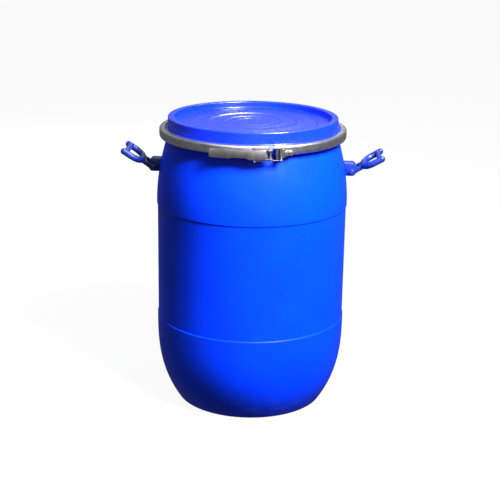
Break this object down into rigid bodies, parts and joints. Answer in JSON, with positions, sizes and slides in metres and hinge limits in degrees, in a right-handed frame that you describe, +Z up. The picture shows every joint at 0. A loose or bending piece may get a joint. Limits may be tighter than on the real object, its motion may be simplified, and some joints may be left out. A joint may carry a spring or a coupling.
{
  "type": "plastic open head drum",
  "caption": "Round-shouldered plastic open head drum with a recessed overcap lid, split steel locking ring with a toggle lever, and two hinged side handles.",
  "frame": {"origin": "centre of the flat base, on the floor", "axes": "+Z up along the drum's axis, -Y towards the latch, +X towards the right handle"},
  "size_m": [0.5353, 0.3988, 0.599],
  "materials": {
    "body_plastic": "blow-moulded blue polyethylene, satin",
    "lid_plastic": "injection-moulded royal blue polyethylene, semi-gloss",
    "handle_plastic": "injection-moulded dark blue polyethylene, semi-gloss",
    "gasket_rubber": "black foam rubber",
    "ring_steel": "galvanised rolled steel strip",
    "latch_steel": "galvanised pressed steel"
  },
  "bodies": {
    "drum": {"drum_body": "body_plastic", "handle_lug_left": "handle_plastic", "handle_lug_right": "handle_plastic", "handle_pin_left": "handle_plastic", "handle_pin_right": "handle_plastic"},
    "lid": {"lid": "lid_plastic", "lid_gasket": "gasket_rubber"},
    "ring": {"locking_ring": "ring_steel", "latch_base": "latch_steel", "latch_base_rivet_1": "latch_steel", "latch_base_rivet_2": "latch_steel", "lever_pin": "latch_steel", "keeper": "latch_steel", "keeper_rivet_1": "latch_steel", "keeper_rivet_2": "latch_steel"},
    "lever": {"latch_lever": "latch_steel", "link_pin": "latch_steel"},
    "link": {"latch_link": "latch_steel"},
    "handle_l": {"handle_left": "handle_plastic"},
    "handle_r": {"handle_right": "handle_plastic"}
  },
  "joints": [
    {"name": "lid_lift", "type": "slide", "parent": "drum", "child": "lid", "axis": [0, 0, 1], "range_m": [0, 0.25]},
    {"name": "ring_lift", "type": "slide", "parent": "lid", "child": "ring", "axis": [0, 0, 1], "range_m": [0, 0.08], "deforming": ["locking_ring"]},
    {"name": "lever_swing", "type": "hinge", "parent": "ring", "child": "lever", "pos_m": [0.04176, -0.19314, 0.5625], "axis": [0, 0, 1], "range_deg": [0, 120]},
    {"name": "link_swing", "type": "hinge", "parent": "lever", "child": "link", "pos_m": [0.01137, -0.19727, 0.5625], "axis": [0, 0, 1], "range_deg": [-135, 0]},
    {"name": "handle_left_swing", "type": "hinge", "parent": "drum", "child": "handle_l", "pos_m": [-0.20401, 0, 0.49], "axis": [0, 1, 0], "range_deg": [-123, 57]},
    {"name": "handle_right_swing", "type": "hinge", "parent": "drum", "child": "handle_r", "pos_m": [0.20401, 0, 0.49], "axis": [0, -1, 0], "range_deg": [-120, 60]}
  ],
  "couplings": [
    {"joint": "link_swing", "follows": "lever_swing", "ratio": -1.1}
  ]
}
